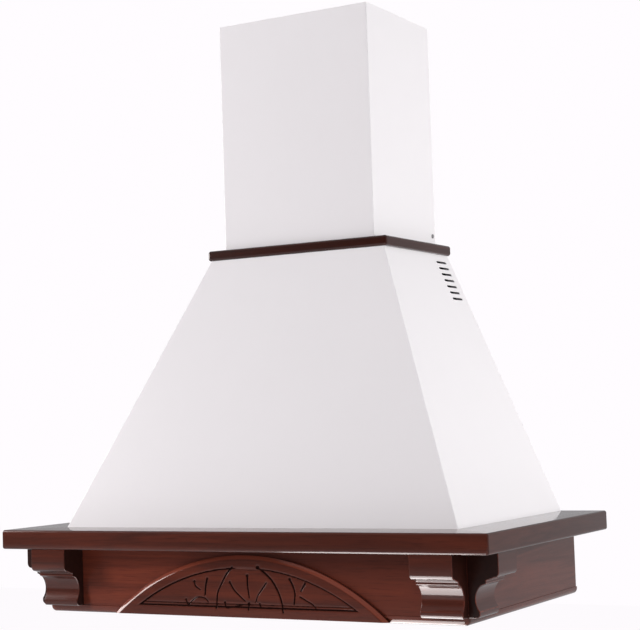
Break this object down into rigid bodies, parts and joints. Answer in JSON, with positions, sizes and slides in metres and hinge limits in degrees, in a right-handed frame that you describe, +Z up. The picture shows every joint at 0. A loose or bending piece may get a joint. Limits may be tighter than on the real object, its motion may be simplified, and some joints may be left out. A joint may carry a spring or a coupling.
{
  "type": "wall-mount range hood",
  "caption": "Wall-mount range hood: white steel canopy and telescopic flue on a moulded wooden shelf with corbels and an arched front panel, blower, filters and lamps inside.",
  "frame": {"origin": "on the wall plane, on the centre line, level with the top face of the wooden shelf", "axes": "+X to the viewer's right, +Y into the wall, +Z up"},
  "size_m": [0.9, 0.5, 1.016],
  "materials": {
    "lacquered_wood": "gloss clear lacquer over reddish brown stained hardwood",
    "white_enamel": "smooth satin white powder coat",
    "grey_enamel": "smooth light grey powder coat",
    "zinc_steel": "zinc-coated sheet",
    "satin_steel": "satin steel",
    "bright_steel": "bright zinc-plated steel",
    "bare_aluminium": "mill-finish aluminium",
    "motor_enamel": "dark semi-gloss paint",
    "black_plastic": "black moulded plastic",
    "dark_gloss_plastic": "dark gloss plastic",
    "light_plastic": "off-white plastic",
    "frosted_glass": "frosted glass"
  },
  "bodies": {
    "hood": {"shelf_front": "lacquered_wood", "shelf_left": "lacquered_wood", "shelf_right": "lacquered_wood", "skirt_front": "lacquered_wood", "skirt_left": "lacquered_wood", "skirt_right": "lacquered_wood", "bead_front": "lacquered_wood", "bead_left": "lacquered_wood", "bead_right": "lacquered_wood", "arch_panel": "lacquered_wood", "corbel_front_left": "lacquered_wood", "corbel_front_right": "lacquered_wood", "corbel_side_left": "lacquered_wood", "corbel_side_right": "lacquered_wood", "neck_trim_front": "lacquered_wood", "neck_trim_left": "lacquered_wood", "neck_trim_right": "lacquered_wood", "canopy_shell": "white_enamel", "back_panel": "zinc_steel", "hanger_rail": "zinc_steel", "underside_tray": "grey_enamel", "control_fascia": "dark_gloss_plastic", "switch_bank": "black_plastic", "control_box": "black_plastic", "lamp_housing_left": "satin_steel", "lamp_housing_right": "satin_steel", "lamp_lens_left": "frosted_glass", "lamp_lens_right": "frosted_glass", "flue_cover": "white_enamel", "flue_feet": "zinc_steel", "outlet_collar": "black_plastic", "flap_pin": "bright_steel", "outlet_adapter": "zinc_steel", "scroll_front": "black_plastic", "scroll_rear": "black_plastic", "blower_motor": "motor_enamel", "motor_bracket": "zinc_steel", "terminal_box": "black_plastic", "cable_gland": "black_plastic", "capacitor": "light_plastic", "canopy_screws": "bright_steel", "tray_screws": "bright_steel", "flue_screws": "bright_steel"},
    "upper_flue": {"flue_extension": "white_enamel", "flue_bracket": "zinc_steel"},
    "fan": {"impeller": "black_plastic", "motor_shaft": "bright_steel"},
    "left_flap": {"flap_left": "black_plastic"},
    "right_flap": {"flap_right": "black_plastic"},
    "left_filter": {"filter_frame_left": "bare_aluminium", "filter_mesh_left": "bare_aluminium"},
    "right_filter": {"filter_frame_right": "bare_aluminium", "filter_mesh_right": "bare_aluminium"},
    "left_catch": {"filter_catch_left": "black_plastic"},
    "right_catch": {"filter_catch_right": "black_plastic"},
    "button_1": {"push_button_1": "light_plastic"},
    "button_2": {"push_button_2": "light_plastic"},
    "button_3": {"push_button_3": "light_plastic"},
    "button_4": {"push_button_4": "light_plastic"},
    "button_5": {"push_button_5": "light_plastic"}
  },
  "joints": [
    {"name": "flue_slide", "type": "slide", "parent": "hood", "child": "upper_flue", "axis": [0, 0, 1], "range_m": [0, 0.3]},
    {"name": "fan_spin", "type": "hinge", "parent": "hood", "child": "fan", "pos_m": [-0.047, -0.12, 0.25], "axis": [0, 1, 0], "continuous": true},
    {"name": "left_flap_swing", "type": "hinge", "parent": "hood", "child": "left_flap", "pos_m": [0, -0.12, 0.47], "axis": [0, 1, 0], "range_deg": [0, 75]},
    {"name": "right_flap_swing", "type": "hinge", "parent": "hood", "child": "right_flap", "pos_m": [0, -0.12, 0.47], "axis": [0, 1, 0], "range_deg": [-75, 0]},
    {"name": "left_filter_drop", "type": "hinge", "parent": "hood", "child": "left_filter", "pos_m": [-0.16, -0.064, -0.1135], "axis": [1, 0, 0], "range_deg": [0, 85]},
    {"name": "right_filter_drop", "type": "hinge", "parent": "hood", "child": "right_filter", "pos_m": [0.16, -0.064, -0.1135], "axis": [1, 0, 0], "range_deg": [0, 85]},
    {"name": "left_catch_slide", "type": "slide", "parent": "left_filter", "child": "left_catch", "axis": [0, 1, 0], "range_m": [0, 0.006], "stiffness_N_per_m": 250, "springref_m": -0.004},
    {"name": "right_catch_slide", "type": "slide", "parent": "right_filter", "child": "right_catch", "axis": [0, 1, 0], "range_m": [0, 0.006], "stiffness_N_per_m": 250, "springref_m": -0.004},
    {"name": "button_1_press", "type": "slide", "parent": "hood", "child": "button_1", "axis": [0, 0, 1], "range_m": [0, 0.003], "stiffness_N_per_m": 300, "springref_m": -0.002},
    {"name": "button_2_press", "type": "slide", "parent": "hood", "child": "button_2", "axis": [0, 0, 1], "range_m": [0, 0.003], "stiffness_N_per_m": 300, "springref_m": -0.002},
    {"name": "button_3_press", "type": "slide", "parent": "hood", "child": "button_3", "axis": [0, 0, 1], "range_m": [0, 0.003], "stiffness_N_per_m": 300, "springref_m": -0.002},
    {"name": "button_4_press", "type": "slide", "parent": "hood", "child": "button_4", "axis": [0, 0, 1], "range_m": [0, 0.003], "stiffness_N_per_m": 300, "springref_m": -0.002},
    {"name": "button_5_press", "type": "slide", "parent": "hood", "child": "button_5", "axis": [0, 0, 1], "range_m": [0, 0.003], "stiffness_N_per_m": 300, "springref_m": -0.002}
  ]
}
